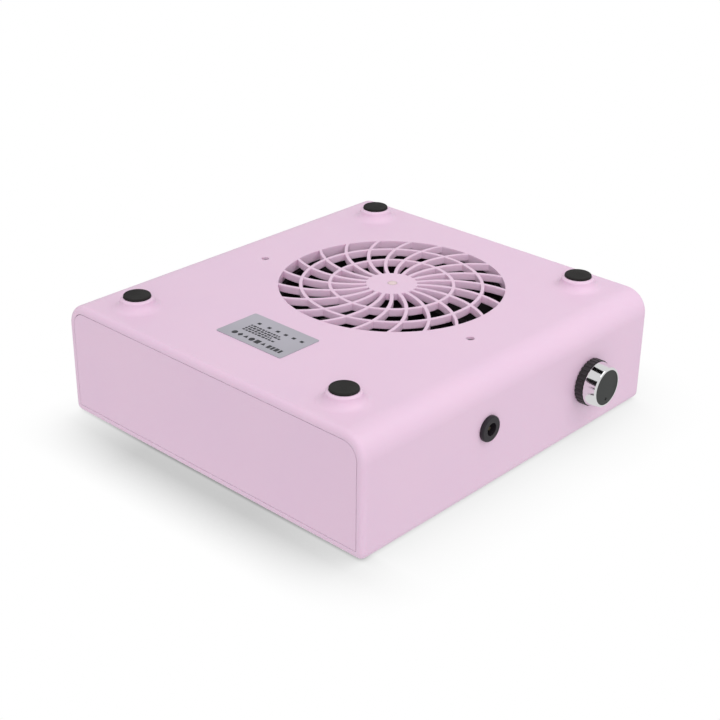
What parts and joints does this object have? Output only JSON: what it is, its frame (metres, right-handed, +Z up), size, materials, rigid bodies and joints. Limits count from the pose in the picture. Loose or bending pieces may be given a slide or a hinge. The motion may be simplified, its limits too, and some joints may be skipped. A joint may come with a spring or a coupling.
{
  "type": "nail dust collector",
  "caption": "Low box that draws nail dust down through a lift-out filter with a fan; round outlet grille and feet below, speed knob and power socket on the back.",
  "frame": {"origin": "on the table, under the middle of the whole machine, knob included, as it stands on its feet", "axes": "+X from the left side cover to the right one, +Y from the front to the back face with the knob and socket, +Z up"},
  "size_m": [0.2186, 0.2182, 0.0692],
  "materials": {
    "casing_plastic": "satin",
    "cover_plastic": "satin",
    "tray_plastic": "satin",
    "pad_rubber": "matt",
    "plate_foil": "satin",
    "screw_steel": "plated",
    "frame_plastic": "satin",
    "guard_metal": "powder coat",
    "filter_paper": "matt",
    "gasket_foam": "matt foam",
    "fan_plastic": "matt",
    "rotor_plastic": "satin",
    "bearing_steel": "ground",
    "circuit_green": "gloss",
    "iron_core": "plain",
    "coil_copper": "enamelled",
    "magnet_black": "matt",
    "control_metal": "plain",
    "knob_black": "satin",
    "knob_chrome": "polished",
    "knob_grey": "satin",
    "jack_plastic": "satin",
    "pin_brass": "plated",
    "connector_plastic": "satin",
    "component_black": "satin",
    "lead_sleeve": "satin"
  },
  "bodies": {
    "box": {"casing": "casing_plastic", "side_cover_left": "cover_plastic", "side_cover_right": "cover_plastic", "filter_tray": "tray_plastic", "foot_pads": "pad_rubber", "rating_plate": "plate_foil", "case_screws": "screw_steel", "fan_housing": "fan_plastic", "fan_bearings": "bearing_steel", "fan_circuit": "circuit_green", "fan_stator": "iron_core", "fan_coils": "coil_copper", "fan_screws": "screw_steel", "fan_lead": "lead_sleeve", "speed_control": "control_metal", "speed_control_washer": "screw_steel", "speed_control_nut": "screw_steel", "jack_body": "jack_plastic", "jack_nut": "jack_plastic", "jack_pin": "pin_brass", "jack_terminals": "pin_brass", "jack_lead": "lead_sleeve", "control_board": "circuit_green", "board_connectors": "connector_plastic", "board_transistor": "component_black", "board_capacitor": "component_black"},
    "rotor": {"fan_rotor": "rotor_plastic", "fan_magnet": "magnet_black", "fan_shaft": "bearing_steel"},
    "knob": {"knob_skirt": "knob_black", "knob_ring": "knob_chrome", "knob_face": "knob_grey", "speed_control_shaft": "control_metal"},
    "cassette": {"filter_frame": "frame_plastic", "filter_guard": "guard_metal", "filter_media": "filter_paper", "filter_gasket": "gasket_foam"}
  },
  "joints": [
    {"name": "fan_spin", "type": "hinge", "parent": "box", "child": "rotor", "pos_m": [0.023, -0.0058, 0.025], "axis": [0, 0, 1], "continuous": true},
    {"name": "knob_turn", "type": "hinge", "parent": "box", "child": "knob", "pos_m": [0.0586, 0.0975, 0.0402], "axis": [0, 1, 0], "range_deg": [-140, 140]},
    {"name": "cassette_lift", "type": "slide", "parent": "box", "child": "cassette", "axis": [0, 0, 1], "range_m": [0, 0.045]}
  ]
}
